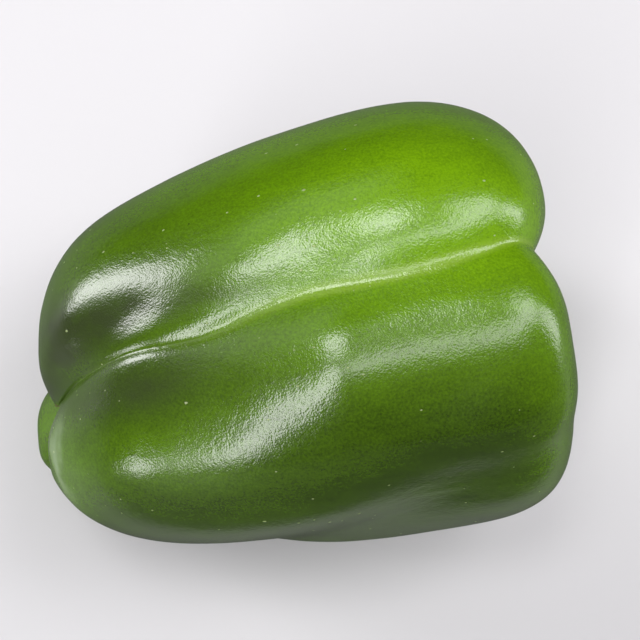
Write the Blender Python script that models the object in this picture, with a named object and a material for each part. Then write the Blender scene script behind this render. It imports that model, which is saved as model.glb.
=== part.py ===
"""A blocky green bell pepper lying on its side, with its cut stem.

World axes, in metres: +X from the blossom end to the stem end, +Z up, and the
front is -Y. The origin is on the table, under the middle of the part's box.

Two pieces: the fruit, one grown solid with four lobes that rests on its two
lower lobes, and the stem, which is the calyx and the cut stalk grown as one.

Angles around the fruit are in degrees: 0 faces the front, 90 is up, 180 is the
back and -90 is down. A lobe lies between two grooves. Values along the fruit
are given at stations spread evenly from its blossom end to its stem end.
"""
import bmesh
import bpy
import numpy as np

MM = 0.001

# ---- the fruit, driving dimensions ----------------------------------------
HALF_SPAN = 55 * MM              # the stations run from -HALF_SPAN to HALF_SPAN

# where the middle of each cross-section lies (the stem end sits higher)
MIDDLE_Y = np.array([-5.0, -1.0, 0.0, 0.0, 0.0]) * MM
MIDDLE_Z = np.array([26.6, 34.6, 38.6, 40.6, 41.6]) * MM

# each lobe's radius at its crest, lobes in order of rising angle:
# lower front, upper front, upper back, lower back
CREST_RADIUS = np.array([
    [28.0, 34.0, 42.0, 41.3, 42.2],
    [29.0, 36.0, 40.5, 38.6, 44.0],
    [39.5, 35.0, 39.5, 42.5, 38.0],
    [32.5, 41.0, 46.5, 48.0, 45.0],
]) * MM

# the groove on the low-angle side of each lobe: its radius and its angle
GROOVE_RADIUS = np.array([
    [26.0, 32.5, 36.5, 38.0, 37.0],
    [25.5, 32.5, 37.2, 37.2, 42.1],
    [25.0, 31.5, 35.0, 37.0, 36.0],
    [26.0, 33.0, 37.5, 39.0, 35.5],
]) * MM
GROOVE_ANGLE = np.array([
    [-157.0, -118.0, -97.0, -93.0, -92.0],
    [-30.0, -32.0, -13.0, 10.0, 22.0],
    [73.0, 75.0, 78.0, 81.0, 94.0],
    [175.0, 175.0, 175.0, 175.0, 175.0],
])
KINKED_GROOVE = 2                # the top groove dips by
KINK_ANGLE = -3.5                # this angle
KINK_X = -16 * MM                # around this place
KINK_LENGTH = 10 * MM
GROOVE_SOFTNESS = np.array([0.10, 0.50, 0.03, 0.10])   # share of a half lobe that is rounded
LOBE_FULLNESS = 2.2              # 1 is a straight flank, more is a rounder lobe

# how far the lobes and the grooves reach at the two ends
TIP_REACH = np.array([53.5, 50.0, 49.5, 46.0]) * MM
TIP_GROOVE_REACH = np.array([47.0, 45.0, 44.0, 46.0]) * MM
SHOULDER_REACH = np.array([48.7, 48.8, 51.5, 50.0]) * MM
SHOULDER_GROOVE_REACH = np.array([48.0, 48.4, 45.0, 38.0]) * MM
END_SOFTNESS = 0.08              # as GROOVE_SOFTNESS, over the two ends
END_FULLNESS = 3.0               # as LOBE_FULLNESS, over the two ends
TIP_LEAN = 1.0 * MM              # the blossom end leans out by this much, towards
TIP_LEAN_ANGLE = -90             # this angle
SHOULDER_LEAN = 1.8 * MM         # the same for the shoulders
SHOULDER_LEAN_ANGLE = -30
BLOSSOM_DIMPLE = 4.5 * MM        # depth of the dimple at the blossom end
BLOSSOM_DIMPLE_WIDTH = 0.52      # as a share of the section
STEM_RECESS = 12.0 * MM          # depth of the recess that holds the stem
STEM_RECESS_WIDTH = 0.60
TIP_BLUNTNESS = 2.8              # 2 is an ellipse, more is boxier
SHOULDER_BLUNTNESS = 6.0

FRUIT_COLUMNS = 60
FRUIT_RINGS = 52
COLUMN_CROWDING = 0.6            # columns crowd towards the grooves

# ---- the stem, driving dimensions -----------------------------------------
STEM_GAP = 0.65 * MM             # between the calyx and the skin, along X
CALYX_WIDTH = 0.36               # the rim's place, as a share of the section
CALYX_THICKNESS = 1.4 * MM
CALYX_SCALLOPS = 6
SCALLOP_DEPTH = 0.08             # share of the calyx's width
STALK_FOOT_RADIUS = 8.5 * MM     # where the stalk flares into the calyx
STALK_RADIUS = 4.4 * MM
STALK_CUT_RADIUS = 5.2 * MM      # the stalk is thicker again at its cut end
STALK_RIBS = 5
STALK_RIB_DEPTH = 0.07           # share of the radius
STALK_CUT_X = 49.0 * MM          # the cut end stays below the shoulders
STALK_LEAN = 3.5 * MM            # the cut end is this far off the middle, towards
STALK_LEAN_ANGLE = -20           # this angle
CUT_ROUNDING = 0.7 * MM          # of the edge of the cut end
# where, from the middle of the underside (0) to the middle of the cut end (1),
CALYX_RIM = 0.4                  # the calyx's rim lies,
CALYX_TOP = 0.65                 # its upper side ends,
STALK_START = 0.5                # the stalk rises out of it,
STALK_END = 0.85                 # and the cut end starts
CALYX_INNER = 0.4                # the upper side ends this far in, a share of the rim
STALK_FLARE = 0.6                # share of the stalk's length where its foot flares
CUT_EDGE = 0.4                   # share of the cut end that is its rounded edge
STEM_COLUMNS = 40
STEM_RINGS = 36

# ---- finishes ---------------------------------------------------------------
FRUIT_COLOR = (0.09, 0.22, 0.01)
FRUIT_ROUGHNESS = 0.25
STEM_COLOR = (0.20, 0.33, 0.06)
STEM_ROUGHNESS = 0.6


def blend(low, high, share):
    return low + (high - low) * share


def stage(place, start, end):
    """0 before start, 1 after end, and a straight rise between them."""
    return np.clip((place - start) / (end - start), 0.0, 1.0)


def ease(share):
    """0 to 1 with level ends."""
    share = np.clip(share, 0.0, 1.0)
    return share * share * (3.0 - 2.0 * share)


def station_weights(x):
    """How much each of the five stations counts at x: a Catmull-Rom curve,
    straight past its ends."""
    place = np.clip(x / HALF_SPAN * 2 + 2, 0, 4)
    weights = []
    for station in range(-1, 6):
        gap = np.abs(place - station)
        near = 1 - 2.5 * gap ** 2 + 1.5 * gap ** 3
        far = 2 - 4 * gap + 2.5 * gap ** 2 - 0.5 * gap ** 3
        weights.append(np.where(gap < 1, near, np.where(gap < 2, far, 0.0)))
    before, *inside, after = weights
    inside[0] = inside[0] + 2 * before
    inside[1] = inside[1] - before
    inside[4] = inside[4] + 2 * after
    inside[3] = inside[3] - after
    return np.stack(inside, axis=-1)


def swell(share, softness, fullness):
    """0 in a groove, where share is 0, to 1 on a crest, where share is 1."""
    rounded = np.sqrt(share ** 2 + softness ** 2) - softness
    rounded = rounded / (np.sqrt(1.0 + softness ** 2) - softness)
    return 1.0 - (1.0 - np.clip(rounded, 0.0, 1.0)) ** fullness


def angle_at(lobe, across, x):
    """The angle of a point that lies a share across its lobe."""
    grooves = station_weights(x) @ GROOVE_ANGLE.T
    grooves[..., KINKED_GROOVE] += KINK_ANGLE * np.exp(-((x - KINK_X) / KINK_LENGTH) ** 2)
    edges = np.concatenate([grooves, grooves[..., :1] + 360], axis=-1)
    start = np.take_along_axis(edges, lobe[..., None], axis=-1)[..., 0]
    end = np.take_along_axis(edges, lobe[..., None] + 1, axis=-1)[..., 0]
    return blend(start, end, across)


def long_section(down):
    """The fruit's section along its length, a rounded box that is blunter at
    the stem end: the place along it, -1 to 1, and the share of the radius."""
    bluntness = blend(TIP_BLUNTNESS, SHOULDER_BLUNTNESS, ease(down))
    cosine = np.cos(np.pi * down)
    sine = np.clip(np.sin(np.pi * down), 0.0, None)
    size = (np.abs(cosine) ** bluntness + sine ** bluntness) ** (-1 / bluntness)
    return -cosine * size, sine * size


def skin_points(turn, along, out):
    """Points of the skin. turn runs 0 to 1 around the fruit, and along and out
    are a place on the long section."""
    turn, along, out = np.broadcast_arrays(turn, along, out)
    lobe = np.minimum((turn * 4).astype(int), 3)
    across = turn * 4 - lobe
    across = across - COLUMN_CROWDING * np.sin(2 * np.pi * across) / (2 * np.pi)
    groove = np.where(across < 0.5, lobe, (lobe + 1) % 4)
    side = 2 * np.minimum(across, 1 - across)
    softness = GROOVE_SOFTNESS[groove]

    # how far the point's part of either end reaches
    end_swell = swell(side, np.maximum(softness, END_SOFTNESS), END_FULLNESS)
    tip = blend(TIP_GROOVE_REACH[groove], TIP_REACH[lobe], end_swell)
    shoulder = blend(SHOULDER_GROOVE_REACH[groove], SHOULDER_REACH[lobe], end_swell)
    tip_rise = ease(out / BLOSSOM_DIMPLE_WIDTH)
    shoulder_rise = ease(out / STEM_RECESS_WIDTH)
    tip = blend(TIP_REACH.mean() - BLOSSOM_DIMPLE, tip, tip_rise)
    shoulder = blend(SHOULDER_REACH.mean() - STEM_RECESS, shoulder, shoulder_rise)
    reach = np.where(along < 0, tip, shoulder)

    # the two ends lean out towards one side
    angle = angle_at(lobe, across, along * HALF_SPAN)
    tip_lean = TIP_LEAN * tip_rise * np.cos(np.radians(angle - TIP_LEAN_ANGLE))
    shoulder_lean = SHOULDER_LEAN * shoulder_rise * np.cos(np.radians(angle - SHOULDER_LEAN_ANGLE))
    x = along * (reach + np.where(along < 0, tip_lean, shoulder_lean))

    # the lobed cross-section at x
    angle = np.radians(angle_at(lobe, across, x))
    weights = station_weights(x)
    crest_radius = np.sum(weights * CREST_RADIUS[lobe], axis=-1)
    groove_radius = np.sum(weights * GROOVE_RADIUS[groove], axis=-1)
    radius = out * blend(groove_radius, crest_radius, swell(side, softness, LOBE_FULLNESS))
    y = weights @ MIDDLE_Y - radius * np.cos(angle)
    z = weights @ MIDDLE_Z + radius * np.sin(angle)
    return np.stack([x, y, z], axis=-1)


def fruit_points(turn, down):
    """The fruit: its skin, flat where it rests on the table."""
    along, out = long_section(down)
    points = skin_points(turn, along, out)
    points[..., 2] = np.maximum(points[..., 2], 0.0)
    return points


def recess_points(turn, out):
    """Points of the skin in the recess at the stem end."""
    along = (1 - out ** SHOULDER_BLUNTNESS) ** (1 / SHOULDER_BLUNTNESS)
    return skin_points(turn, along, out)


def stem_points(turn, down):
    """The stem. down runs over the calyx's underside from its middle to its
    rim, and then over its top, up the stalk and over the cut end."""
    under = stage(down, 0.0, CALYX_RIM)
    top = stage(down, CALYX_RIM, CALYX_TOP)
    rise = stage(down, STALK_START, STALK_END)
    cap = stage(down, STALK_END, 1.0)

    # the calyx lies over the skin of the recess
    scallop = 1 - SCALLOP_DEPTH * (0.5 + 0.5 * np.cos(2 * np.pi * CALYX_SCALLOPS * turn))
    rim = CALYX_WIDTH * scallop
    calyx = recess_points(turn, rim * under * blend(1, CALYX_INNER, top))
    calyx[..., 0] += STEM_GAP + CALYX_THICKNESS * np.sqrt(1 - (1 - top) ** 4)

    # the stalk stands on the middle of the recess, with ribs down its length
    middle = recess_points(0.0, 0.0)
    outwards = recess_points(turn, rim) - middle
    outwards[..., 0] = 0.0
    outwards /= np.linalg.norm(outwards, axis=-1, keepdims=True)
    flare = 1 - (1 - stage(rise, 0.0, STALK_FLARE)) ** 3
    radius = blend(STALK_FOOT_RADIUS, STALK_RADIUS, flare)
    radius = blend(radius, STALK_CUT_RADIUS, ease(stage(rise, 1 - STALK_FLARE, 1.0)))
    radius = radius * (1 + STALK_RIB_DEPTH * np.cos(2 * np.pi * STALK_RIBS * turn))
    edge = stage(cap, 0.0, CUT_EDGE)
    radius = radius - CUT_ROUNDING * (1 - np.sqrt(1 - edge ** 2))
    radius = radius * (1 - stage(cap, CUT_EDGE, 1.0))
    lean = np.radians(STALK_LEAN_ANGLE)
    aside = STALK_LEAN * ease(rise)
    foot = middle[0] + STEM_GAP + CALYX_THICKNESS
    stalk = middle + outwards * radius[..., None]
    stalk[..., 0] = blend(foot, STALK_CUT_X - CUT_ROUNDING, rise) + CUT_ROUNDING * edge
    stalk[..., 1] -= aside * np.cos(lean)
    stalk[..., 2] += aside * np.sin(lean)
    grown = ease(stage(down, (CALYX_RIM + STALK_START) / 2, CALYX_TOP))
    return blend(calyx, stalk, grown[..., None])


def closed_piece(name, points_at, columns, rings, color, roughness, collection):
    """A sphere's mesh, poles along X, moved to the points of a closed form."""
    mesh = bpy.data.meshes.new(name)
    work = bmesh.new()
    bmesh.ops.create_uvsphere(work, u_segments=columns, v_segments=rings, radius=1.0)
    places = np.array([vert.co for vert in work.verts])
    turn = np.arctan2(places[:, 1], places[:, 0]) / (2 * np.pi)
    turn = np.round(turn * columns) / columns % 1.0
    down = np.arccos(np.clip(-places[:, 2], -1, 1)) / np.pi
    for vert, point in zip(work.verts, points_at(turn, down)):
        vert.co = point
    # turn runs the other way round X than a sphere's columns round Z
    bmesh.ops.reverse_faces(work, faces=work.faces)
    work.to_mesh(mesh)
    work.free()
    mesh.shade_smooth()
    material = bpy.data.materials.new(name)
    material.use_nodes = True
    shader = material.node_tree.nodes["Principled BSDF"]
    shader.inputs["Base Color"].default_value = (*color, 1.0)
    shader.inputs["Roughness"].default_value = roughness
    shader.inputs["Metallic"].default_value = 0.0
    mesh.materials.append(material)
    piece = bpy.data.objects.new(name, mesh)
    collection.objects.link(piece)
    return piece


def stand_on_origin(pieces):
    """Moves the pieces until the middle of their box is over the origin."""
    corners = [np.array(vert.co) for piece in pieces for vert in piece.data.vertices]
    middle = (np.min(corners, axis=0) + np.max(corners, axis=0)) / 2
    for piece in pieces:
        for vert in piece.data.vertices:
            vert.co.x -= middle[0]
            vert.co.y -= middle[1]


def main():
    for old in list(bpy.data.objects):
        bpy.data.objects.remove(old, do_unlink=True)
    collection = bpy.data.collections.new("bell_pepper")
    bpy.context.scene.collection.children.link(collection)
    fruit = closed_piece("fruit", fruit_points, FRUIT_COLUMNS, FRUIT_RINGS,
                         FRUIT_COLOR, FRUIT_ROUGHNESS, collection)
    stem = closed_piece("stem", stem_points, STEM_COLUMNS, STEM_RINGS,
                        STEM_COLOR, STEM_ROUGHNESS, collection)
    stand_on_origin([fruit, stem])


main()
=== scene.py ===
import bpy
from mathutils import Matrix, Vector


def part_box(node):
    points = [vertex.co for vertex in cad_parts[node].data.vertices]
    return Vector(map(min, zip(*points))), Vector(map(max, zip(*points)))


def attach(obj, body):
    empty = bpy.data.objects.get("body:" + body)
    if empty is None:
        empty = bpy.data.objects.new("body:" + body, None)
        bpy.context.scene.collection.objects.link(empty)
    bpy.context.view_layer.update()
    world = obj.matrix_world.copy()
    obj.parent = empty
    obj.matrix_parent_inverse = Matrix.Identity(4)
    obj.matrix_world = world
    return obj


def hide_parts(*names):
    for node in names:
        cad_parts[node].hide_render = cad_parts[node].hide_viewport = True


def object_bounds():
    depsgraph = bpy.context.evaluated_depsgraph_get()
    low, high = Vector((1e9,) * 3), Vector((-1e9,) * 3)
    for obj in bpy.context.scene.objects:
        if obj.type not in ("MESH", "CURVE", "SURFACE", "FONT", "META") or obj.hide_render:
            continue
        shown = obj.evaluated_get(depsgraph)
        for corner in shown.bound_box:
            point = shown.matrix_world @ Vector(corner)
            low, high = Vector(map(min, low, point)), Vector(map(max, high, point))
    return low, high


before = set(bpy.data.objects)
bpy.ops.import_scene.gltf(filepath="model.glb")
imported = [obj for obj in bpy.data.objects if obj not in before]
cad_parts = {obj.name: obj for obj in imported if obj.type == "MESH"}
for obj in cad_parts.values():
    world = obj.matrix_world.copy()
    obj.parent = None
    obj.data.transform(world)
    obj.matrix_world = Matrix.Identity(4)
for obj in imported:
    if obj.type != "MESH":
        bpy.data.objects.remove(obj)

"""A green bell pepper lying on its side on a pale table, under soft light.

Lengths in the tables are in millimetres, angles in degrees. Angles around the
fruit: 0 faces the front, 90 is up, 180 is the back. +X runs from the blossom
end to the stem end. Lobes, and the groove on the low-angle side of each, come
in order of rising angle: lower front, upper front, upper back, lower back.
"""
import math

import bpy
from mathutils import Vector

cad_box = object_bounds()
MM = 0.001
FULL_TURN = 360.0
HALF_TURN = 180.0

# ---- the fruit ----------------------------------------------------------------
# five stations stand along the fruit, evenly from -HALF_SPAN to HALF_SPAN, and
# each row of a table gives a lobe's or a groove's value at every station
HALF_SPAN = 55.0
MIDDLE_Y = (-5.0, -1.0, 0.0, 0.0, 0.0)
MIDDLE_Z = (26.6, 34.6, 38.6, 40.6, 41.6)
CREST_RADIUS = (
    (28.0, 34.0, 42.0, 41.3, 42.2),
    (29.0, 36.0, 40.5, 38.6, 44.0),
    (39.5, 35.0, 39.5, 42.5, 38.0),
    (32.5, 41.0, 46.5, 48.0, 45.0),
)
GROOVE_RADIUS = (
    (26.0, 32.5, 36.5, 38.0, 37.0),
    (25.5, 32.5, 37.2, 37.2, 42.1),
    (25.0, 31.5, 35.0, 37.0, 36.0),
    (26.0, 33.0, 37.5, 39.0, 35.5),
)
GROOVE_ANGLE = (
    (-157.0, -118.0, -97.0, -93.0, -92.0),
    (-30.0, -32.0, -13.0, 10.0, 22.0),
    (73.0, 75.0, 78.0, 81.0, 94.0),
    (175.0, 175.0, 175.0, 175.0, 175.0),
)
# the groove along the top, and the kink in its path
TOP_GROOVE = 2
KINK_ANGLE, KINK_X, KINK_LENGTH = -3.5, -16.0, 10.0
# how round the bottom of each groove is, and how broad the backs of the lobes are
GROOVE_SOFTNESS = (0.10, 0.50, 0.03, 0.10)
LOBE_FULLNESS = 2.2
# how far the lobes and the grooves reach, towards the blossom end and the stem end
TIP_REACH = (53.5, 50.0, 49.5, 46.0)
TIP_GROOVE_REACH = (47.0, 45.0, 44.0, 46.0)
SHOULDER_REACH = (48.7, 48.8, 51.5, 50.0)
SHOULDER_GROOVE_REACH = (48.0, 48.4, 45.0, 38.0)
END_SOFTNESS = 0.08
END_FULLNESS = 3.0
# each end leans out towards one side, by a length and at an angle
TIP_LEAN, TIP_LEAN_ANGLE = 1.0, -90.0
SHOULDER_LEAN, SHOULDER_LEAN_ANGLE = 1.8, -30.0
# the hollows in the ends: depth, and width as a share of the radius
BLOSSOM_DIMPLE, BLOSSOM_DIMPLE_WIDTH = 4.5, 0.52
STEM_RECESS, STEM_RECESS_WIDTH = 12.0, 0.60
TIP_BLUNTNESS, SHOULDER_BLUNTNESS = 2.8, 6.0
# how much the mesh's columns crowd towards the grooves
COLUMN_CROWDING = 0.6

# soft dents (depth above 0) and swellings (depth below 0) in the skin:
# x, angle, length along x, width around, turned by, depth
DENTS = (
    (-43.0, 94.5, 7.0, 10.0, 0.0, -1.25),
    (-29.0, 86.0, 5.0, 5.0, 0.0, 0.4),
    (-12.0, 91.0, 9.0, 6.0, 0.0, -0.3),
    (5.0, 89.0, 9.0, 7.0, 0.0, 0.6),
    (42.0, 94.0, 8.0, 10.0, 0.0, -1.5),
    (-29.0, 74.5, 14.0, 6.5, 0.0, -1.4),
    (7.0, 58.0, 6.0, 12.0, 10.0, -0.8),
    (-12.0, 38.0, 12.0, 8.0, 0.0, -0.5),
    (-32.0, 36.0, 10.0, 7.0, 0.0, -0.6),
    (24.0, 78.0, 16.0, 6.0, 0.0, 0.8),
    (29.0, 34.0, 15.0, 8.0, 0.0, -2.2),
    (24.0, 54.0, 14.0, 6.0, 0.0, -0.4),
)
# a narrow furrow along the top crease, which fades out between two places on x
FURROW_DEPTH = 0.5
FURROW_WIDTH = 0.05
FURROW_FADE = (-22.0, 0.0)
# broad lumps and fine ripples, longer along x, lie all over the skin, but near
# the stem they fade out between two shares of the radius
LUMP_PLACE = (3.1, 3.1, 3.1)
RIPPLE_STRETCH = 3.0
CALM_FADE = (0.40, 0.75)

# lighter green patches (amount above 0) and deeper ones (amount below 0), two of
# them painted light on the top rim: x, angle, length along x, width around, turned by,
# amount
GREEN_AND_RIM_LIGHT_PATCHES = (
    (26.0, 92.0, 42.0, 26.0, 0.0, 0.88),
    # painted light: this row lightens the skin along the top rim
    (17.0, 148.0, 45.0, 12.0, 0.0, 0.35),
    (-48.0, -70.0, 8.0, 40.0, 0.0, 0.20),
    (-33.0, 125.0, 30.0, 14.0, 0.0, 0.12),
    # painted sheen: this row is a wide pale streak near the top rim
    (-6.0, 134.0, 20.0, 9.0, 0.0, 0.25),
    (24.0, 36.0, 22.0, 13.0, 0.0, -0.12),
    (-23.0, 42.0, 16.0, 9.0, 8.0, 0.22),
    (48.0, 15.0, 7.0, 30.0, 0.0, 0.25),
    (-46.0, 30.0, 8.0, 35.0, 0.0, 0.35),
    (12.0, -38.0, 40.0, 9.0, 0.0, 0.15),
    (2.0, 175.0, 50.0, 12.0, 0.0, 0.35),
    (2.0, -95.0, 50.0, 10.0, 0.0, 0.30),
    (50.0, 170.0, 8.0, 60.0, 0.0, 0.30),
    (-46.0, 190.0, 8.0, 60.0, 0.0, 0.30),
)
PLAIN_GREEN = 0.07
# dusky patches, where the skin has a purple tinge, as above
DUSK_PATCHES = (
    (-31.0, 89.0, 13.0, 7.0, 0.0, 0.9),
    (-42.0, 97.0, 5.0, 10.0, 0.0, 0.7),
    (-27.0, 62.0, 14.0, 6.0, 0.0, 0.7),
    (-13.0, 84.0, 9.0, 3.0, 0.0, 0.4),
    (10.0, 215.0, 22.0, 9.0, 10.0, 0.5),
)
# pale bands, partly painted sheen of a grazing reflection over a paler green, as above
SHEEN_AND_PALE_BANDS = (
    (-43.8, 36.0, 1.3, 16.0, 0.0, 0.75),
    (-42.5, 30.0, 3.5, 20.0, 0.0, 0.15),
)


# ---- node trees written as sums --------------------------------------------------
class Wire:
    """A node's output, which sums can be written with."""

    def __init__(self, graph, socket):
        self.graph = graph
        self.socket = socket

    def __add__(self, other):
        return self.graph.math("ADD", self, other)

    def __radd__(self, other):
        return self.graph.math("ADD", other, self)

    def __sub__(self, other):
        return self.graph.math("SUBTRACT", self, other)

    def __rsub__(self, other):
        return self.graph.math("SUBTRACT", other, self)

    def __mul__(self, other):
        return self.graph.math("MULTIPLY", self, other)

    def __rmul__(self, other):
        return self.graph.math("MULTIPLY", other, self)

    def __truediv__(self, other):
        return self.graph.math("DIVIDE", self, other)

    def __rtruediv__(self, other):
        return self.graph.math("DIVIDE", other, self)

    def __pow__(self, other):
        return self.graph.math("POWER", self, other)

    def __abs__(self):
        return self.graph.math("ABSOLUTE", self)


class Graph:
    """Adds nodes to a tree and links them."""

    def __init__(self, tree):
        self.tree = tree

    def put(self, socket, value):
        if isinstance(value, Wire):
            self.tree.links.new(value.socket, socket)
        elif value is not None:
            socket.default_value = value

    def node(self, kind, inputs=(), **settings):
        """A node with its settings, and its inputs by name or number."""
        node = self.tree.nodes.new(kind)
        for name, value in settings.items():
            setattr(node, name, value)
        for key, value in dict(inputs).items():
            self.put(node.inputs[key], value)
        return node

    def out(self, node, key=0):
        return Wire(self, node.outputs[key])

    def math(self, operation, *values):
        node = self.node("ShaderNodeMath", enumerate(values), operation=operation)
        return self.out(node)

    def floor(self, value):
        return self.math("FLOOR", value)

    def least(self, value, other):
        return self.math("MINIMUM", value, other)

    def most(self, value, other):
        return self.math("MAXIMUM", value, other)

    def clamp(self, value, low=0.0, high=1.0):
        return self.least(self.most(value, low), high)

    def below(self, value, limit):
        """1 where value is below limit, otherwise 0."""
        return self.math("LESS_THAN", value, limit)

    def sin(self, degrees):
        return self.math("SINE", self.math("RADIANS", degrees))

    def cos(self, degrees):
        return self.math("COSINE", self.math("RADIANS", degrees))

    def blend(self, low, high, share):
        """low where share is 0, high where it is 1."""
        return low + (high - low) * share

    def stage(self, value, start, end):
        """0 before start, 1 after end, and a straight rise between them."""
        return self.clamp((value - start) / (end - start))

    def ease(self, value, start=0.0, end=1.0):
        """As stage, with level ends."""
        share = self.stage(value, start, end)
        return share * share * (3.0 - 2.0 * share)

    def bell(self, value):
        """1 where value is 0, falling to nothing at about 2."""
        return self.math("EXPONENT", value * value * -1.0)

    def along(self, weights, values):
        """The sum of the five stations' values, each times its weight."""
        total = 0.0
        for weight, value in zip(weights, values):
            total = self.math("MULTIPLY_ADD", weight, value, total)
        return total

    def pick(self, index, values):
        """The value whose place in the list is index."""
        node = self.node("GeometryNodeIndexSwitch", data_type="FLOAT")
        while len(node.index_switch_items) < len(values):
            node.index_switch_items.new()
        self.put(node.inputs[0], index)
        for place, value in enumerate(values):
            self.put(node.inputs[place + 1], value)
        return self.out(node)

    def parts(self, vector):
        """The x, y and z of a vector."""
        node = self.node("ShaderNodeSeparateXYZ", {0: vector})
        return [self.out(node, axis) for axis in range(3)]

    def vector(self, x, y, z):
        return self.out(self.node("ShaderNodeCombineXYZ", {0: x, 1: y, 2: z}))

    def vmath(self, operation, *values, key=0):
        node = self.node("ShaderNodeVectorMath", enumerate(values), operation=operation)
        return self.out(node, key)

    def use(self, group, **inputs):
        """A node of a group, its inputs given by name with _ for a space."""
        shading = self.tree.bl_idname == "ShaderNodeTree"
        node = self.tree.nodes.new("ShaderNodeGroup" if shading else "GeometryNodeGroup")
        node.node_tree = group
        for key, value in inputs.items():
            self.put(node.inputs[key.replace("_", " ")], value)
        return node


def new_group(name, kind, inputs, outputs):
    """A node group, its graph and a wire for each of its inputs."""
    tree = bpy.data.node_groups.new(name, kind)
    for label, value in inputs.items():
        if isinstance(value, str):
            tree.interface.new_socket(label, in_out="INPUT", socket_type=value)
            continue
        socket_type = "NodeSocketFloat"
        if isinstance(value, tuple):
            socket_type = "NodeSocketVector"
        elif isinstance(value, int):
            socket_type = "NodeSocketInt"
        socket = tree.interface.new_socket(label, in_out="INPUT",
                                           socket_type=socket_type)
        socket.default_value = value
    for label, socket_type in outputs.items():
        tree.interface.new_socket(label, in_out="OUTPUT", socket_type=socket_type)
    graph = Graph(tree)
    source = graph.node("NodeGroupInput")
    wires = {label: graph.out(source, label) for label in inputs}
    sink = graph.node("NodeGroupOutput")
    return tree, graph, wires, sink


# ---- the lobed shape -----------------------------------------------------------
def station_weight_group():
    """How much each of the five stations counts at x: a Catmull-Rom curve,
    straight past its ends."""
    names = {f"W{number}": "NodeSocketFloat" for number in range(5)}
    tree, g, given, sink = new_group("station weights", "GeometryNodeTree",
                                     {"X": 0.0, "Half Span": HALF_SPAN}, names)
    place = g.clamp(given["X"] / given["Half Span"] * 2.0 + 2.0, 0.0, 4.0)
    weights = []
    for station in range(-1, 6):
        gap = g.least(abs(place - float(station)), 2.0)
        near = gap * gap * (1.5 * gap - 2.5) + 1.0
        far = gap * (gap * (2.5 - 0.5 * gap) - 4.0) + 2.0
        weights.append(g.blend(far, near, g.below(gap, 1.0)))
    before, *inside, after = weights
    inside[0] = inside[0] + 2.0 * before
    inside[1] = inside[1] - before
    inside[4] = inside[4] + 2.0 * after
    inside[3] = inside[3] - after
    for number, weight in enumerate(inside):
        g.put(sink.inputs[number], weight)
    return tree


def swell_group():
    """0 in a groove, where Share is 0, to 1 on a crest, where Share is 1."""
    tree, g, given, sink = new_group(
        "swell", "GeometryNodeTree",
        {"Share": 0.0, "Softness": 0.1, "Fullness": 2.0}, {"Height": "NodeSocketFloat"})
    share, softness = given["Share"], given["Softness"]
    rounded = g.math("SQRT", share * share + softness * softness) - softness
    full = g.math("SQRT", 1.0 + softness * softness) - softness
    rounded = g.clamp(rounded / full)
    g.put(sink.inputs[0], 1.0 - (1.0 - rounded) ** given["Fullness"])
    return tree


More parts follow.
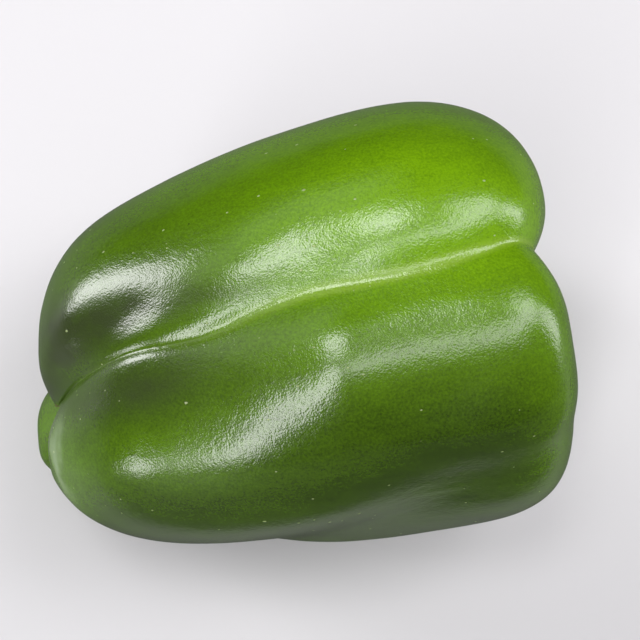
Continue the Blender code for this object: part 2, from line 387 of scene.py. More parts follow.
def skin_point_group(weight_group, swell):
    """A point of the skin. Turn runs 0 to 1 around the fruit, and Along and
    Out are a place on its long section."""
    tree, g, given, sink = new_group(
        "skin point", "GeometryNodeTree",
        {"Turn": 0.0, "Along": 0.0, "Out": 0.0, "Half Span": HALF_SPAN,
         "Blossom Dimple": BLOSSOM_DIMPLE, "Dimple Width": BLOSSOM_DIMPLE_WIDTH,
         "Stem Recess": STEM_RECESS, "Recess Width": STEM_RECESS_WIDTH,
         "Lobe Fullness": LOBE_FULLNESS, "Column Crowding": COLUMN_CROWDING},
        {"Point": "NodeSocketVector", "Angle": "NodeSocketFloat",
         "Crest": "NodeSocketFloat", "Groove": "NodeSocketFloat"})
    span = given["Half Span"]

    def weights_at(x):
        node = g.use(weight_group, X=x, Half_Span=span)
        return [g.out(node, number) for number in range(5)]

    def swelled(share, softness, fullness):
        return g.out(g.use(swell, Share=share, Softness=softness, Fullness=fullness))

    lobe = g.least(g.floor(given["Turn"] * 4.0), 3.0)
    across = given["Turn"] * 4.0 - lobe
    wave = g.sin(across * FULL_TURN)
    across = across - given["Column Crowding"] * wave / (2 * math.pi)
    upper = 1.0 - g.below(across, 0.5)
    groove = g.math("FLOORED_MODULO", lobe + upper, 4.0)
    side = 2.0 * g.least(across, 1.0 - across)
    softness = g.pick(groove, GROOVE_SOFTNESS)

    def angle_at(x):
        weights = weights_at(x)
        angles = [g.along(weights, row) for row in GROOVE_ANGLE]
        kink = g.bell((x - KINK_X) / KINK_LENGTH)
        angles[TOP_GROOVE] = angles[TOP_GROOVE] + KINK_ANGLE * kink
        start = g.pick(lobe, angles)
        end = g.pick(lobe, angles[1:] + [angles[0] + FULL_TURN])
        return g.blend(start, end, across)

    # how far either end reaches on this side of the fruit
    end_swell = swelled(side, g.most(softness, END_SOFTNESS), END_FULLNESS)
    tip = g.blend(g.pick(groove, TIP_GROOVE_REACH),
                  g.pick(lobe, TIP_REACH), end_swell)
    shoulder = g.blend(g.pick(groove, SHOULDER_GROOVE_REACH),
                       g.pick(lobe, SHOULDER_REACH), end_swell)
    tip_rise = g.ease(given["Out"] / given["Dimple Width"])
    shoulder_rise = g.ease(given["Out"] / given["Recess Width"])
    tip_floor = sum(TIP_REACH) / 4 - given["Blossom Dimple"]
    shoulder_floor = sum(SHOULDER_REACH) / 4 - given["Stem Recess"]
    tip = g.blend(tip_floor, tip, tip_rise)
    shoulder = g.blend(shoulder_floor, shoulder, shoulder_rise)

    # the two ends lean out towards one side
    angle = angle_at(given["Along"] * span)
    tip_lean = TIP_LEAN * tip_rise * g.cos(angle - TIP_LEAN_ANGLE)
    shoulder_lean = SHOULDER_LEAN * shoulder_rise * g.cos(angle - SHOULDER_LEAN_ANGLE)
    at_tip = g.below(given["Along"], 0.0)
    x = given["Along"] * g.blend(shoulder + shoulder_lean, tip + tip_lean, at_tip)

    # the lobed cross-section at x
    angle = angle_at(x)
    weights = weights_at(x)
    crest_radius = g.pick(lobe, [g.along(weights, row) for row in CREST_RADIUS])
    groove_radius = g.pick(groove, [g.along(weights, row) for row in GROOVE_RADIUS])
    height = swelled(side, softness, given["Lobe Fullness"])
    radius = given["Out"] * g.blend(groove_radius, crest_radius, height)
    y = g.along(weights, MIDDLE_Y) - radius * g.cos(angle)
    z = g.along(weights, MIDDLE_Z) + radius * g.sin(angle)
    g.put(sink.inputs["Point"], g.vector(x, y, z))
    g.put(sink.inputs["Angle"], angle)
    g.put(sink.inputs["Crest"], side)
    g.put(sink.inputs["Groove"], groove)
    return tree


def soft_spot_group(kind):
    """1 at a place on the skin, fading with distance from it. X and the sizes
    are in millimetres, and the angles in degrees."""
    tree, g, given, sink = new_group(
        "soft spot", kind,
        {"X": 0.0, "Angle": 0.0, "Middle X": 0.0, "Middle Angle": 0.0, "Length": 10.0,
         "Width": 10.0, "Turned": 0.0, "Radius": 40.0},
        {"Mask": "NodeSocketFloat"})
    forward = given["X"] - given["Middle X"]
    apart = given["Angle"] - given["Middle Angle"]
    apart = g.math("WRAP", apart, HALF_TURN, -HALF_TURN)
    aside = g.math("RADIANS", apart) * given["Radius"]
    cosine, sine = g.cos(given["Turned"]), g.sin(given["Turned"])
    a = (forward * cosine + aside * sine) / given["Length"]
    b = (aside * cosine - forward * sine) / given["Width"]
    g.put(sink.inputs[0], g.bell(a) * g.bell(b))
    return tree


def spots(g, soft_spot, x, angle, places):
    """The sum of soft spots, each times its own amount."""
    total = 0.0
    for middle_x, middle_angle, length, width, turned, amount in places:
        spot = g.use(soft_spot, X=x, Angle=angle, Middle_X=middle_x,
                     Middle_Angle=middle_angle, Length=length, Width=width, Turned=turned)
        total = g.out(spot) * amount + total
    return total


def sphere_places(g, columns, rings):
    """A sphere's mesh, with each point's turn around its axis and its way down
    from the first pole, both 0 to 1."""
    sphere = g.node("GeometryNodeMeshUVSphere", {"Segments": columns, "Rings": rings})
    x, y, z = g.parts(g.out(g.node("GeometryNodeInputPosition")))
    turn = g.math("FRACT", g.math("ARCTAN2", y, x) / (2 * math.pi) + 1.0)
    apart = g.math("SQRT", x * x + y * y)
    down = g.math("ARCTAN2", apart, z * -1.0) / math.pi
    # turn runs the other way round X than the sphere's columns round Z
    flipped = g.node("GeometryNodeFlipFaces", {"Mesh": g.out(sphere)})
    return g.out(flipped), turn, down


def store(g, geometry, name, value, kind="FLOAT"):
    """The geometry, with a value kept under a name at each point."""
    node = g.node("GeometryNodeStoreNamedAttribute", data_type=kind, domain="POINT")
    g.put(node.inputs["Geometry"], geometry)
    g.put(node.inputs["Name"], name)
    g.put(node.inputs["Value"], value)
    return g.out(node)


def stored(g, name):
    node = g.node("GeometryNodeInputNamedAttribute", {"Name": name}, data_type="FLOAT")
    return g.out(node)


def noise(g, position, size, detail=1.0):
    """Soft noise from about -1 to 1, with lumps of the given size."""
    place = g.vmath("SCALE", position, None, None, 1.0 / size)
    node = g.node("ShaderNodeTexNoise", {"Vector": place, "Scale": 1.0, "Detail": detail})
    return (g.out(node, 0) - 0.5) * 2.0


def set_position(g, geometry, position=None, offset=None):
    node = g.node("GeometryNodeSetPosition", {"Geometry": geometry, "Position": position,
                                              "Offset": offset})
    return g.out(node)


def finish_tree(g, sink, geometry, material):
    """Turns millimetres to metres, shades the mesh smooth and ends the tree."""
    scaled = g.node("GeometryNodeTransform",
                    {"Geometry": geometry, "Scale": (MM, MM, MM)})
    smooth = g.node("GeometryNodeSetShadeSmooth", {"Geometry": g.out(scaled)})
    real = g.node("GeometryNodeRealizeInstances", {"Geometry": g.out(smooth)})
    painted = g.node("GeometryNodeSetMaterial",
                     {"Geometry": g.out(real), "Material": material})
    g.put(sink.inputs[0], g.out(painted))


def long_section(g, down):
    """The fruit's section along its length, a rounded box that is blunter at
    the stem end: the place along it, -1 to 1, and the share of the radius."""
    bluntness = g.blend(TIP_BLUNTNESS, SHOULDER_BLUNTNESS, g.ease(down))
    cosine = g.cos(down * HALF_TURN)
    sine = g.most(g.sin(down * HALF_TURN), 0.0)
    size = (abs(cosine) ** bluntness + sine ** bluntness) ** (-1.0 / bluntness)
    return cosine * size * -1.0, sine * size


def fruit_tree(skin_point, soft_spot):
    tree, g, given, sink = new_group(
        "lobed fruit", "GeometryNodeTree",
        {"Geometry": "NodeSocketGeometry", "Columns": 320, "Rings": 300,
         "Half Span": HALF_SPAN, "Blossom Dimple": BLOSSOM_DIMPLE,
         "Stem Recess": STEM_RECESS, "Dent Strength": 1.0, "Lump Height": 0.10,
         "Lump Size": 16.0, "Ripple Height": 0.055, "Ripple Size": 4.0,
         "Material": "NodeSocketMaterial"},
        {"Geometry": "NodeSocketGeometry"})
    mesh, turn, down = sphere_places(g, given["Columns"], given["Rings"])
    mesh = store(g, mesh, "turn", turn)
    mesh = store(g, mesh, "down", down)
    along, out = long_section(g, stored(g, "down"))
    point = g.use(skin_point, Turn=stored(g, "turn"), Along=along, Out=out,
                  Half_Span=given["Half Span"], Blossom_Dimple=given["Blossom Dimple"],
                  Stem_Recess=given["Stem Recess"])
    crest, groove = g.out(point, "Crest"), g.out(point, "Groove")
    mesh = store(g, mesh, "crest", crest)
    mesh = store(g, mesh, "out", out)
    at_top = g.below(abs(groove - float(TOP_GROOVE)), 0.5)
    mesh = store(g, mesh, "top_groove", at_top * (1.0 - crest))
    angle = g.out(point, "Angle")
    mesh = store(g, mesh, "angle", angle)
    outwards = g.vector(g.cos(angle), g.sin(angle), 0.0)
    mesh = store(g, mesh, "outwards", outwards, "FLOAT_VECTOR")
    mesh = set_position(g, mesh, g.out(point, "Point"))

    # dents, broad lumps and fine ripples, all calm in the recess of the stem
    position = g.out(g.node("GeometryNodeInputPosition"))
    x = g.parts(position)[0]
    depth = spots(g, soft_spot, x, stored(g, "angle"), DENTS)
    furrow = g.bell((1.0 - stored(g, "top_groove")) / FURROW_WIDTH)
    furrow = furrow * (1.0 - g.ease(x, *FURROW_FADE)) * FURROW_DEPTH
    height = given["Dent Strength"] * (depth + furrow) * -1.0
    lump = noise(g, g.vmath("ADD", position, LUMP_PLACE), given["Lump Size"])
    height = height + lump * given["Lump Height"]
    stretched = g.vmath("MULTIPLY", position, (1.0 / RIPPLE_STRETCH, 1.0, 1.0))
    ripple = noise(g, stretched, given["Ripple Size"])
    height = height + ripple * given["Ripple Height"]
    calm = g.most(g.below(x, 0.0), g.ease(stored(g, "out"), *CALM_FADE))
    normal = g.out(g.node("GeometryNodeInputNormal"))
    offset = g.vmath("SCALE", normal, None, None, height * calm)
    mesh = set_position(g, mesh, offset=offset)

    # flat where it rests
    x, y, z = g.parts(g.out(g.node("GeometryNodeInputPosition")))
    mesh = set_position(g, mesh, g.vector(x, y, g.most(z, 0.0)))
    finish_tree(g, sink, mesh, given["Material"])
    return tree


# ---- the stem --------------------------------------------------------------------
# the stem is one skin, drawn from the middle of the calyx's underside, where its
# share is 0, over the rim and up the stalk to the middle of the cut, where it is 1
UNDERSIDE = (0.0, 0.4)
CALYX_TOP = (0.4, 0.65)
FOOT_BLEND = (0.45, 0.65)
STALK = (0.5, 0.85)
CUT = (0.85, 1.0)
# on its way back from the rim the calyx's top stops at this share of its width
CALYX_INNER = 0.4
CALYX_ROUNDNESS = 4.0
# the foot narrows over the first part of the stalk, then it widens to the cut
FLARE_END = 0.6
FLARE_STEEPNESS = 3.0
WIDENING_START = 0.4
# the share of the cut that its rounded edge takes
CUT_EDGE = 0.4
# a share of the radius so near 0 that it stands for the middle of the recess
MIDDLE = 0.0001


def stem_tree(skin_point):
    tree, g, given, sink = new_group(
        "calyx and stalk", "GeometryNodeTree",
        {"Geometry": "NodeSocketGeometry", "Columns": 180, "Rings": 150,
         "Half Span": HALF_SPAN, "Stem Recess": STEM_RECESS,
         "Gap": 0.35, "Calyx Width": 0.36, "Calyx Thickness": 1.4,
         "Calyx Scallops": 6, "Scallop Depth": 0.08, "Foot Radius": 8.5,
         "Stalk Radius": 4.4, "Cut Radius": 5.2, "Stalk Ribs": 5, "Rib Depth": 0.07,
         "Cut X": 49.0, "Stalk Lean": 3.5, "Lean Angle": -20.0, "Cut Rounding": 0.7,
         "Material": "NodeSocketMaterial"},
        {"Geometry": "NodeSocketGeometry"})
    mesh, turn, down = sphere_places(g, given["Columns"], given["Rings"])
    mesh = store(g, mesh, "turn", turn)
    mesh = store(g, mesh, "down", down)
    turn, down = stored(g, "turn"), stored(g, "down")

    def recess_point(turn, out):
        """The x, y and z of the skin in the recess, at a share of the radius."""
        along = (1.0 - out ** SHOULDER_BLUNTNESS) ** (1.0 / SHOULDER_BLUNTNESS)
        node = g.use(skin_point, Turn=turn, Along=along, Out=out,
                     Half_Span=given["Half Span"], Stem_Recess=given["Stem Recess"])
        return g.parts(g.out(node, "Point"))

    under = g.stage(down, *UNDERSIDE)
    top = g.stage(down, *CALYX_TOP)
    rise = g.stage(down, *STALK)
    cap = g.stage(down, *CUT)

    # the calyx lies over the skin of the recess
    wave = 0.5 + 0.5 * g.cos(turn * FULL_TURN * given["Calyx Scallops"])
    rim = given["Calyx Width"] * (1.0 - given["Scallop Depth"] * wave)
    calyx_out = g.most(rim * under * g.blend(1.0, CALYX_INNER, top), MIDDLE)
    x, y, z = recess_point(turn, calyx_out)
    rounded = g.math("SQRT", 1.0 - (1.0 - top) ** CALYX_ROUNDNESS)
    x = x + given["Gap"] + given["Calyx Thickness"] * rounded

    # the stalk stands on the middle of the recess, with ribs down its length
    middle_x, middle_y, middle_z = recess_point(0.0, MIDDLE)
    _, rim_y, rim_z = recess_point(turn, rim)
    out_y, out_z = rim_y - middle_y, rim_z - middle_z
    far = g.math("SQRT", out_y * out_y + out_z * out_z)
    flare = 1.0 - (1.0 - g.stage(rise, 0.0, FLARE_END)) ** FLARE_STEEPNESS
    radius = g.blend(given["Foot Radius"], given["Stalk Radius"], flare)
    radius = g.blend(radius, given["Cut Radius"], g.ease(rise, WIDENING_START, 1.0))
    ribs = g.cos(turn * FULL_TURN * given["Stalk Ribs"])
    radius = radius * (1.0 + given["Rib Depth"] * ribs)
    edge = g.stage(cap, 0.0, CUT_EDGE)
    edge_fall = 1.0 - g.math("SQRT", g.most(1.0 - edge * edge, 0.0))
    radius = radius - given["Cut Rounding"] * edge_fall
    radius = radius * (1.0 - g.stage(cap, CUT_EDGE, 1.0))
    aside = given["Stalk Lean"] * g.ease(rise)
    foot = middle_x + given["Gap"] + given["Calyx Thickness"]
    stalk_x = g.blend(foot, given["Cut X"] - given["Cut Rounding"], rise)
    stalk_x = stalk_x + given["Cut Rounding"] * edge
    stalk_y = middle_y + out_y / far * radius - aside * g.cos(given["Lean Angle"])
    stalk_z = middle_z + out_z / far * radius + aside * g.sin(given["Lean Angle"])
    grown = g.ease(down, *FOOT_BLEND)
    point = g.vector(g.blend(x, stalk_x, grown), g.blend(y, stalk_y, grown),
                     g.blend(z, stalk_z, grown))
    outwards = g.vector(g.cos(turn * FULL_TURN), g.sin(turn * FULL_TURN), 0.0)
    mesh = store(g, mesh, "outwards", outwards, "FLOAT_VECTOR")
    mesh = store(g, mesh, "rise", rise)
    mesh = store(g, mesh, "cap", cap)
    mesh = store(g, mesh, "calyx", top)
    mesh = set_position(g, mesh, point)
    finish_tree(g, sink, mesh, given["Material"])
    return tree


# ---- making the pieces -------------------------------------------------------------
def grow(name, tree, values):
    """A piece made by a tree: the modifier's result as a plain mesh."""
    seedling = bpy.data.objects.new(name + "_seedling", bpy.data.meshes.new(name))
    bpy.context.scene.collection.objects.link(seedling)
    modifier = seedling.modifiers.new("growth", "NODES")
    modifier.node_group = tree
    for item in tree.interface.items_tree:
        if item.in_out == "INPUT" and item.name in values:
            modifier[item.identifier] = values[item.name]
    evaluated = seedling.evaluated_get(bpy.context.evaluated_depsgraph_get())
    mesh = bpy.data.meshes.new_from_object(evaluated)
    mesh.name = name
    bpy.data.objects.remove(seedling)
    return mesh


def mesh_box(mesh):
    """The lowest and highest corners of a mesh."""
    lows = [min(vertex.co[axis] for vertex in mesh.vertices) for axis in range(3)]
    highs = [max(vertex.co[axis] for vertex in mesh.vertices) for axis in range(3)]
    return Vector(lows), Vector(highs)


def show(name, mesh, node):
    """Puts a piece in the scene and tells the frame what it stands for."""
    piece = bpy.data.objects.new(name, mesh)
    bpy.context.scene.collection.objects.link(piece)
    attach(piece, "root")
    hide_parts(node)


# ---- materials -----------------------------------------------------------------------
# the greens of the skin, from the deepest to the lightest
SKIN_GREENS = (
    (0.0, (0.022, 0.046, 0.002, 1.0)),
    (0.3, (0.068, 0.143, 0.002, 1.0)),
    (0.6, (0.104, 0.225, 0.001, 1.0)),
    (1.0, (0.162, 0.335, 0.001, 1.0)),
)
DUSK_COLOR = (0.034, 0.050, 0.014, 1.0)
CREASE_COLOR = (0.26, 0.40, 0.035, 1.0)
# the pale band's colour is partly painted sheen, a grazing reflection
SHEEN_BAND_COLOR = (0.30, 0.40, 0.22, 1.0)
SCAR_COLOR = (0.16, 0.095, 0.035, 1.0)
SCUFF_COLOR = (0.34, 0.40, 0.16, 1.0)
DOT_COLOR = (0.012, 0.020, 0.006, 1.0)
# blotches and grain change the green by a fixed amount, and by a share of it
BLOTCH_AMOUNT, BLOTCH_SHARE = 0.15, 0.35
GRAIN_AMOUNT, GRAIN_SHARE = 0.12, 0.45
GRAIN_SIZE = 0.45
SKIN_MOTTLING = {"Size": 7.0, "Stretch": 3.5, "Fine_Share": 0.55}
SKIN_MOTTLING_STRENGTH = 0.5
# the edges of the dusky patches and the pale bands wander by this much
WOBBLE_SIZE, WOBBLE_REACH = 9.0, 4.0
DUSK_STREAKS, DUSK_STRENGTH = 0.9, 1.15
# how near the bottom of the top groove its pale line begins and is whole, and
# how strong it is towards the blossom end and the stem end
CREASE_LINE = (0.93, 0.985)
CREASE_STRENGTH = (0.05, 0.45)
CREASE_BRIGHTENING = (-23.0, 12.0)
# the scar fades out between two shares of the radius
SCAR_EDGE = (0.03, 0.075)
SCUFFS = {"Spacing": 2.8, "Size": 0.14, "Share": 0.28}
SCUFF_SQUASH = (1.0, 1.6, 1.6)
DOTS = {"Spacing": 8.0, "Size": 0.045, "Share": 0.35}
DOT_PLACE = (31.0, 17.0, 5.0)
SPECK_STRENGTH = 0.8
# the roughness of the wax, and what smudges, scuffs and the scar add to it
SKIN_ROUGHNESS = 0.20
SMUDGE_SIZE, SMUDGE_ROUGHNESS = 14.0, 0.035
SCUFF_ROUGHNESS = 0.25
SCAR_ROUGHNESS = 0.4
# fine relief: pimples, and shares of their height for low waves and scuffs
PIMPLE_SIZE = 0.30
WAVE_SIZE, WAVE_RELIEF = 1.6, 0.8
SCUFF_RELIEF = 1.5
STIPPLE_HEIGHT = 0.028

STEM_DEEP = (0.10, 0.20, 0.025, 1.0)
STEM_PALE = (0.25, 0.38, 0.09, 1.0)
STEM_YELLOW = (0.33, 0.36, 0.10, 1.0)
CUT_BROWN = (0.20, 0.12, 0.045, 1.0)
CUT_FLESH = (0.38, 0.42, 0.17, 1.0)
CUT_RING = (0.22, 0.28, 0.08, 1.0)
CUT_PITH = (0.47, 0.44, 0.24, 1.0)
# the colours of the cut, from its edge to its middle
CUT_COLORS = (
    (0.35, CUT_BROWN),
    (0.55, CUT_FLESH),
    (0.72, CUT_RING),
    (0.85, CUT_FLESH),
    (1.0, CUT_PITH),
)
CUT_BEGINS = (0.25, 0.45)
CUT_UNEVENNESS = 0.04
# fibres run up the stem: how closely round it, how slowly along it, their width
FIBRES_ROUND, FIBRES_ALONG, FIBRE_SIZE = 4.0, 0.7, 0.35
STEM_MOTTLING = {"Size": 3.0, "Stretch": 2.0, "Fine_Share": 0.4}
YELLOW_AMOUNT, YELLOW_BLOTCHES, YELLOW_STRENGTH = 0.3, 0.5, 0.5
# the calyx is a deeper green underneath and at its rim
RIM_WIDTH, RIM_STRENGTH = 0.25, 0.6
LENTICELS = {"Spacing": 1.8, "Size": 0.14, "Share": 0.3}
LENTICEL_STRENGTH = 0.6
STEM_ROUGHNESS, STEM_BLOTCH_ROUGHNESS, CUT_ROUGHNESS = 0.55, 0.06, 0.2
STEM_PIMPLE_SIZE, STEM_PIMPLE_RELIEF, FIBRE_RELIEF = 0.5, 0.6, 1.4
FIBRE_HEIGHT = 0.05

# how the shared patterns are made
MOTTLE_FINENESS = 0.22
SPECK_SMALLEST = 0.4
SPECK_SOLID_SHARE = 0.6
STIPPLE_NOISE_SIZE, STIPPLE_NOISE = 1.7, 0.3


def new_material(name, **sockets):
    """A material, its graph and its shader, with sockets set by name."""
    material = bpy.data.materials.new(name)
    material.use_nodes = True
    graph = Graph(material.node_tree)
    shader = material.node_tree.nodes["Principled BSDF"]
    for key, value in sockets.items():
        graph.put(shader.inputs[key.replace("_", " ")], value)
    return material, graph, shader


def read(g, name, key="Fac"):
    """An attribute that the piece's mesh carries."""
    return g.out(g.node("ShaderNodeAttribute", attribute_name=name), key)


def mixed(g, share, low, high):
    """The colour low where share is 0, high where it is 1."""
    node = g.node("ShaderNodeMix", {0: share, 6: low, 7: high}, data_type="RGBA")
    return g.out(node, 2)


def ramp(g, value, *stops):
    """A colour read from (place, colour) stops."""
    node = g.node("ShaderNodeValToRGB", {0: value})
    elements = node.color_ramp.elements
    while len(elements) < len(stops):
        elements.new(0.5)
    for element, (place, color) in zip(elements, stops):
        element.position = place
        element.color = color
    return g.out(node)


def object_position(g):
    """The place on the piece, in millimetres."""
    place = g.out(g.node("ShaderNodeTexCoord"), "Object")
    return g.vmath("SCALE", place, None, None, 1.0 / MM)


def bumped(g, height, distance):
    """The normal of a surface with fine relief of the given height in millimetres."""
    return g.out(g.node("ShaderNodeBump", {"Height": height, "Strength": 1.0,
                                           "Distance": distance * MM}))


def mottle_group():
    """Blotches from about -1 to 1, longer along X, with finer ones in them."""
    tree, g, given, sink = new_group(
        "mottling", "ShaderNodeTree",
        {"Position": (0.0, 0.0, 0.0), "Size": 5.0, "Stretch": 3.0, "Fine Share": 0.4},
        {"Value": "NodeSocketFloat"})
    stretch = g.vector(1.0 / given["Stretch"], 1.0, 1.0)
    place = g.vmath("MULTIPLY", given["Position"], stretch)
    broad = noise(g, place, given["Size"], 2.0)
    fine = noise(g, place, given["Size"] * MOTTLE_FINENESS, 2.0)
    g.put(sink.inputs[0], broad + fine * given["Fine Share"])
    return tree


def speck_group():
    """Scattered specks: 1 in a speck, 0 outside. Size is a share of the spacing,
    and Share is how many of the places hold one."""
    tree, g, given, sink = new_group(
        "specks", "ShaderNodeTree",
        {"Position": (0.0, 0.0, 0.0), "Spacing": 4.0, "Size": 0.1, "Share": 0.3},
        {"Mask": "NodeSocketFloat"})
    place = g.vmath("SCALE", given["Position"], None, None, 1.0 / given["Spacing"])
    cell = g.node("ShaderNodeTexVoronoi", {"Vector": place, "Scale": 1.0})
    chance, size, _ = g.parts(g.out(cell, "Color"))
    radius = given["Size"] * g.blend(SPECK_SMALLEST, 1.0, size)
    inside = 1.0 - g.stage(g.out(cell, "Distance"), radius * SPECK_SOLID_SHARE, radius)
    g.put(sink.inputs[0], inside * g.below(chance, given["Share"]))
    return tree


def stipple_group():
    """Fine pimples over the skin, as a height from 0 to 1."""
    tree, g, given, sink = new_group(
        "stipple", "ShaderNodeTree", {"Position": (0.0, 0.0, 0.0), "Size": 0.4},
        {"Height": "NodeSocketFloat"})
    place = g.vmath("SCALE", given["Position"], None, None, 1.0 / given["Size"])
    cell = g.node("ShaderNodeTexVoronoi",
                  {"Vector": place, "Scale": 1.0, "Smoothness": 1.0}, feature="SMOOTH_F1")
    height = 1.0 - g.out(cell, "Distance")
    uneven = noise(g, given["Position"], given["Size"] * STIPPLE_NOISE_SIZE)
    g.put(sink.inputs[0], height + uneven * STIPPLE_NOISE)
    return tree


def skin_material(soft_spot, mottle, specks, stipple):
    material, g, shader = new_material("waxy green skin", IOR=1.5, Specular_IOR_Level=1.0)
    position = object_position(g)
    x = g.parts(position)[0]
    cosine, sine, _ = g.parts(read(g, "outwards", "Vector"))
    angle = g.math("DEGREES", g.math("ARCTAN2", sine, cosine))
    blotch = g.out(g.use(mottle, Position=position, **SKIN_MOTTLING))
    blotch = blotch * SKIN_MOTTLING_STRENGTH
    wobble = WOBBLE_REACH * noise(g, position, WOBBLE_SIZE, 3.0)
    x_soft, angle_soft = x + wobble, angle + wobble

    # how light the green is, from 0 to 1, with painted light along the top rim
    level = PLAIN_GREEN + spots(g, soft_spot, x, angle, GREEN_AND_RIM_LIGHT_PATCHES)
    grain = noise(g, position, GRAIN_SIZE, 2.0)
    level = (level + blotch * (BLOTCH_AMOUNT + BLOTCH_SHARE * level)
             + grain * (GRAIN_AMOUNT + GRAIN_SHARE * level))
    color = ramp(g, level, *SKIN_GREENS)

    # dusky purple patches, streaked along the fruit
    dusk = spots(g, soft_spot, x_soft, angle_soft, DUSK_PATCHES)
    dusk = g.clamp(dusk * (1.0 + blotch * DUSK_STREAKS) * DUSK_STRENGTH)
    color = mixed(g, dusk, color, DUSK_COLOR)

    # a pale line runs down the top crease
    crease = g.ease(read(g, "top_groove"), *CREASE_LINE)
    strength = g.blend(*CREASE_STRENGTH, g.ease(x, *CREASE_BRIGHTENING))
    color = mixed(g, crease * strength, color, CREASE_COLOR)

    # a pale band beside the tip of the lower front lobe: painted sheen of a grazing
    # reflection, over a paler green of the skin
    sheen_band = spots(g, soft_spot, x_soft, angle_soft, SHEEN_AND_PALE_BANDS)
    color = mixed(g, g.clamp(sheen_band), color, SHEEN_BAND_COLOR)

    # the scar of the blossom, and pale scuffs and dark specks
    scar = 1.0 - g.ease(read(g, "out"), *SCAR_EDGE)
    scar = scar * g.below(x, 0.0)
    color = mixed(g, scar, color, SCAR_COLOR)
    squashed = g.vmath("MULTIPLY", position, SCUFF_SQUASH)
    scuffs = g.out(g.use(specks, Position=squashed, **SCUFFS))
    color = mixed(g, scuffs * SPECK_STRENGTH, color, SCUFF_COLOR)
    moved = g.vmath("ADD", position, DOT_PLACE)
    dots = g.out(g.use(specks, Position=moved, **DOTS))
    color = mixed(g, dots * SPECK_STRENGTH, color, DOT_COLOR)
    g.put(shader.inputs["Base Color"], color)

    smudge = noise(g, position, SMUDGE_SIZE, 3.0)
    roughness = (SKIN_ROUGHNESS + SMUDGE_ROUGHNESS * smudge + SCUFF_ROUGHNESS * scuffs
                 + SCAR_ROUGHNESS * scar)
    g.put(shader.inputs["Roughness"], roughness)

    pimples = g.out(g.use(stipple, Position=position, Size=PIMPLE_SIZE))
    waves = noise(g, position, WAVE_SIZE)
    height = pimples + WAVE_RELIEF * waves + SCUFF_RELIEF * scuffs
    g.put(shader.inputs["Normal"], bumped(g, height, STIPPLE_HEIGHT))
    return material


def stem_material(mottle, specks, stipple):
    material, g, shader = new_material("stem tissue", IOR=1.45)
    position = object_position(g)
    rise, cap, calyx = read(g, "rise"), read(g, "cap"), read(g, "calyx")
    cosine, sine, _ = g.parts(read(g, "outwards", "Vector"))
    strands = g.vector(cosine * FIBRES_ROUND, sine * FIBRES_ROUND, rise * FIBRES_ALONG)
    fibres = noise(g, strands, FIBRE_SIZE, 3.0)
    blotch = g.out(g.use(mottle, Position=position, **STEM_MOTTLING))
    color = mixed(g, 0.5 + 0.5 * fibres, STEM_DEEP, STEM_PALE)
    yellow = g.clamp(YELLOW_AMOUNT + YELLOW_BLOTCHES * blotch)
    color = mixed(g, yellow * YELLOW_STRENGTH, color, STEM_YELLOW)
    rim = 1.0 - g.ease(calyx, 0.0, RIM_WIDTH)
    color = mixed(g, rim * RIM_STRENGTH, color, STEM_DEEP)
    lenticels = g.out(g.use(specks, Position=position, **LENTICELS))
    color = mixed(g, lenticels * LENTICEL_STRENGTH, color, CUT_BROWN)
    cut = g.ease(cap, *CUT_BEGINS)
    cut_color = ramp(g, cap + CUT_UNEVENNESS * fibres, *CUT_COLORS)
    color = mixed(g, cut, color, cut_color)
    g.put(shader.inputs["Base Color"], color)
    roughness = STEM_ROUGHNESS + STEM_BLOTCH_ROUGHNESS * blotch + CUT_ROUGHNESS * cut
    g.put(shader.inputs["Roughness"], roughness)
    pimples = g.out(g.use(stipple, Position=position, Size=STEM_PIMPLE_SIZE))
    height = pimples * STEM_PIMPLE_RELIEF + fibres * FIBRE_RELIEF + blotch
    g.put(shader.inputs["Normal"], bumped(g, height, FIBRE_HEIGHT))
    return material


# ---- light, floor and camera -----------------------------------------------------------
# the sky's brightness, how much it grows to the right and to the front, and its
# brightness as reflections show it
SKY_LEVEL = 0.29
SKY_TILT_RIGHT = 0.26
SKY_TILT_FRONT = 0.12
MIRRORED_SKY_LEVEL = 0.01
# soft boxes of light: azimuth, elevation, how far it slides to its right, half
# width, half height, soft edge, strength
SOFT_BOXES = (
    (8.0, 92.0, -10.0, 9.0, 8.0, 7.0, 7.0),
    (8.0, 82.0, 30.0, 12.0, 14.0, 9.0, 3.8),
    (8.0, 66.0, 8.0, 14.0, 6.0, 7.0, 3.6),
    (-135.0, 55.0, 0.0, 22.0, 8.0, 16.0, 0.6),
    (-118.0, 23.0, 0.0, 9.0, 16.0, 7.0, 8.0),
    (-32.0, 38.0, 0.0, 6.0, 28.0, 6.0, 7.0),
    (84.0, 20.0, 0.0, 8.0, 22.0, 8.0, 4.0),
    (-55.0, 0.0, 0.0, 9.0, 10.0, 6.0, 7.0),
)


def towards(azimuth, elevation):
    """A direction; azimuth 0 is the front and 90 is +X."""
    turn, rise = math.radians(azimuth), math.radians(elevation)
    return Vector((math.sin(turn) * math.cos(rise), -math.cos(turn) * math.cos(rise),
                   math.sin(rise)))


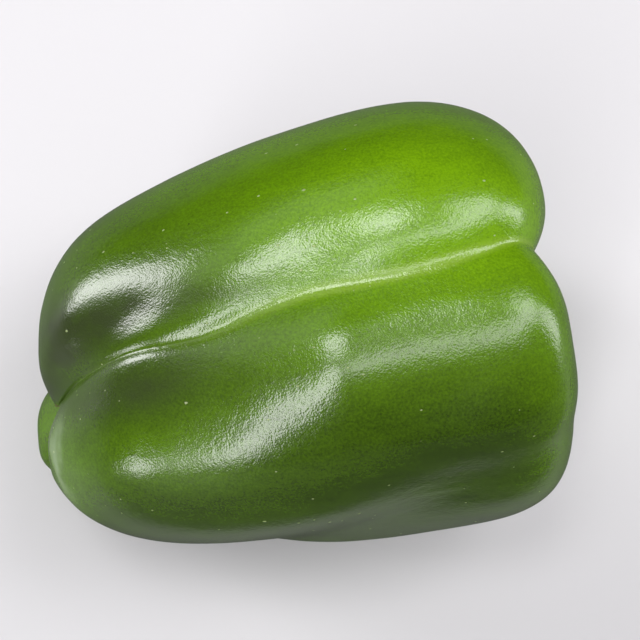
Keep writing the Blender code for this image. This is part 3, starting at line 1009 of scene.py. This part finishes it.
def soft_light():
    """An even pale sky with soft boxes of light in it."""
    world = bpy.data.worlds.new("soft light")
    bpy.context.scene.world = world
    world.use_nodes = True
    g = Graph(world.node_tree)
    direction = g.out(g.node("ShaderNodeTexCoord"), "Generated")
    glossy = g.out(g.node("ShaderNodeLightPath"), "Is Glossy Ray")
    rightward, backward, _ = g.parts(direction)
    sky = SKY_LEVEL + SKY_TILT_RIGHT * rightward - SKY_TILT_FRONT * backward
    level = g.blend(sky, MIRRORED_SKY_LEVEL, glossy)
    for azimuth, elevation, slide, half_width, half_height, edge, strength in SOFT_BOXES:
        ahead = towards(azimuth, elevation)
        right = towards(azimuth + 90.0, 0.0)
        up = right.cross(ahead) * -1.0
        along = g.vmath("DOT_PRODUCT", direction, tuple(ahead), key=1)
        inside = g.below(along * -1.0, 0.0)
        for axis, middle, half in ((right, slide, half_width), (up, 0.0, half_height)):
            apart = g.vmath("DOT_PRODUCT", direction, tuple(axis), key=1)
            off = g.math("DEGREES", g.math("ARCTAN2", apart, along)) - middle
            inside = inside * (1.0 - g.ease(abs(off), half - edge / 2, half + edge / 2))
        level = inside * strength + level
    background = world.node_tree.nodes["Background"]
    background.inputs["Color"].default_value = (1.0, 1.0, 1.0, 1.0)
    g.put(background.inputs["Strength"], level)


TABLE_HALF_SIZE = 4.0
TABLE_COLOR = (0.760, 0.742, 0.770)
# painted shade: the table is a little darker in front of the fruit than behind it, as
# the light falls off: its shade at either side of a stretch of y, in metres
TABLE_PAINTED_SHADE = (0.78, 0.95)
TABLE_PAINTED_SHADE_Y = (-0.08, 0.02)
# painted reflection: as the skin mirrors it, the table is painted nearly black far out
# in front, bright in a strip before the fruit, and dimmer from there to the back
MIRRORED_FAR = 0.04
MIRRORED_FAR_Y = (-0.068, -0.064)
MIRRORED_NEAR = (0.45, 0.16)
MIRRORED_NEAR_Y = (-0.06, -0.03)


def floor():
    mesh = bpy.data.meshes.new("table")
    size = TABLE_HALF_SIZE
    corners = [(-size, -size, 0), (size, -size, 0), (size, size, 0), (-size, size, 0)]
    mesh.from_pydata(corners, [], [(0, 1, 2, 3)])
    material, g, shader = new_material("pale table", Roughness=0.6)
    y = g.parts(g.out(g.node("ShaderNodeTexCoord"), "Object"))[1]
    # painted shade, darker towards the front
    lit = g.blend(*TABLE_PAINTED_SHADE, g.ease(y, *TABLE_PAINTED_SHADE_Y))
    # painted reflection: this colour change shows only to glossy rays
    glossy = g.out(g.node("ShaderNodeLightPath"), "Is Glossy Ray")
    mirrored_near = g.blend(*MIRRORED_NEAR, g.ease(y, *MIRRORED_NEAR_Y))
    mirrored = g.blend(MIRRORED_FAR, mirrored_near, g.stage(y, *MIRRORED_FAR_Y))
    shade = lit * g.blend(1.0, mirrored, glossy)
    g.put(shader.inputs["Base Color"], g.vmath("SCALE", TABLE_COLOR, None, None, shade))
    mesh.materials.append(material)
    table = bpy.data.objects.new("table", mesh)
    bpy.context.scene.collection.objects.link(table)


CAMERA_AZIMUTH = -8.0
CAMERA_ELEVATION = 65.0
CAMERA_DISTANCE = 0.300
CAMERA_LENS = 88.3
SENSOR_WIDTH = 36.0
# where the camera aims, from the middle of the object's box
CAMERA_AIM = Vector((0.00742, -0.0001, 0.0017))


def camera():
    data = bpy.data.cameras.new("camera")
    data.lens = CAMERA_LENS
    data.sensor_width = SENSOR_WIDTH
    eye = bpy.data.objects.new("camera", data)
    bpy.context.scene.collection.objects.link(eye)
    low, high = cad_box
    aim = (low + high) / 2 + CAMERA_AIM
    eye.location = aim + towards(CAMERA_AZIMUTH, CAMERA_ELEVATION) * CAMERA_DISTANCE
    eye.rotation_euler = (math.radians(90.0 - CAMERA_ELEVATION), 0.0,
                          math.radians(CAMERA_AZIMUTH))
    bpy.context.scene.camera = eye


def main():
    weights = station_weight_group()
    swell = swell_group()
    skin_point = skin_point_group(weights, swell)
    mottle, specks, stipple = mottle_group(), speck_group(), stipple_group()
    skin = skin_material(soft_spot_group("ShaderNodeTree"), mottle, specks, stipple)
    tissue = stem_material(mottle, specks, stipple)
    fruit = fruit_tree(skin_point, soft_spot_group("GeometryNodeTree"))
    fruit_mesh = grow("pepper_fruit", fruit, {"Material": skin})
    stem_mesh = grow("pepper_stem", stem_tree(skin_point), {"Material": tissue})

    # the fruit lies where the frame says, and the stem keeps its place in it
    low, high = mesh_box(fruit_mesh)
    cad_low, cad_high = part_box("fruit")
    shift = (cad_low + cad_high - low - high) / 2
    shift.z = cad_low.z - low.z
    for mesh in (fruit_mesh, stem_mesh):
        for vertex in mesh.vertices:
            vertex.co += shift
    show("pepper_fruit", fruit_mesh, "fruit")
    show("pepper_stem", stem_mesh, "stem")
    soft_light()
    floor()
    camera()
    bpy.context.scene.view_settings.view_transform = "Standard"


main()
